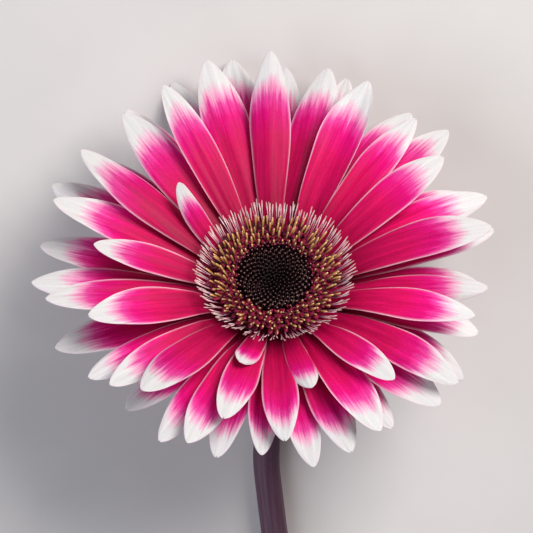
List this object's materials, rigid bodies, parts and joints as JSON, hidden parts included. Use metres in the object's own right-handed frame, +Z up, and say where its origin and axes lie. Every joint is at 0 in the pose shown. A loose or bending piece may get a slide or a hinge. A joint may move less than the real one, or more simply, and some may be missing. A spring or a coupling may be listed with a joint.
{
  "type": "cut gerbera",
  "caption": "Open gerbera bloom with overlapping strap petals round a raised disc, on a long bare stem cut at its lower end, lying down with its face up.",
  "frame": {"origin": "middle of the flower's bounding box, on the surface that it lies on", "axes": "+Z up; the stem runs from the bloom towards +Y; the face of the bloom looks up and towards -Y"},
  "size_m": [0.1116, 0.3576, 0.067],
  "materials": {
    "petal": "satin, crimson with white tips and edges",
    "eye": "matte, near-black maroon buds",
    "disc_floret": "satin maroon with tan-yellow anthers",
    "floret_stalk": "satin, pale pink",
    "receptacle": "matte green flesh",
    "bract": "matte green, finely hairy",
    "stem": "satin dark mauve, finely ribbed"
  },
  "bodies": {
    "root": {"petal_hooked": "petal", "petal_tucked": "petal", "petal_row1_01": "petal", "petal_row1_02": "petal", "petal_row1_03": "petal", "petal_row1_04": "petal", "petal_row1_05": "petal", "petal_row1_06": "petal", "petal_row1_07": "petal", "petal_row1_08": "petal", "petal_row1_09": "petal", "petal_row1_10": "petal", "petal_row1_11": "petal", "petal_row1_12": "petal", "petal_row1_13": "petal", "petal_row2_01": "petal", "petal_row2_02": "petal", "petal_row2_03": "petal", "petal_row2_04": "petal", "petal_row2_05": "petal", "petal_row2_06": "petal", "petal_row2_07": "petal", "petal_row2_08": "petal", "petal_row2_09": "petal", "petal_row2_10": "petal", "petal_row2_11": "petal", "petal_row2_12": "petal", "petal_row2_13": "petal", "petal_row3_01": "petal", "petal_row3_02": "petal", "petal_row3_03": "petal", "petal_row3_04": "petal", "petal_row3_05": "petal", "petal_row3_06": "petal", "petal_row3_07": "petal", "petal_row3_08": "petal", "petal_row3_09": "petal", "petal_row3_10": "petal", "petal_row3_11": "petal", "petal_row3_12": "petal", "petal_row3_13": "petal", "petal_row4_01": "petal", "petal_row4_02": "petal", "petal_row4_03": "petal", "petal_row4_04": "petal", "petal_row4_05": "petal", "petal_row4_06": "petal", "petal_row4_07": "petal", "petal_row4_08": "petal", "petal_row4_09": "petal", "petal_row4_10": "petal", "petal_row4_11": "petal", "petal_row4_12": "petal", "petal_row4_13": "petal", "disc_eye": "eye", "disc_florets": "disc_floret", "outer_florets": "floret_stalk", "receptacle": "receptacle", "bracts": "bract", "stem": "stem"}
  },
  "joints": []
}
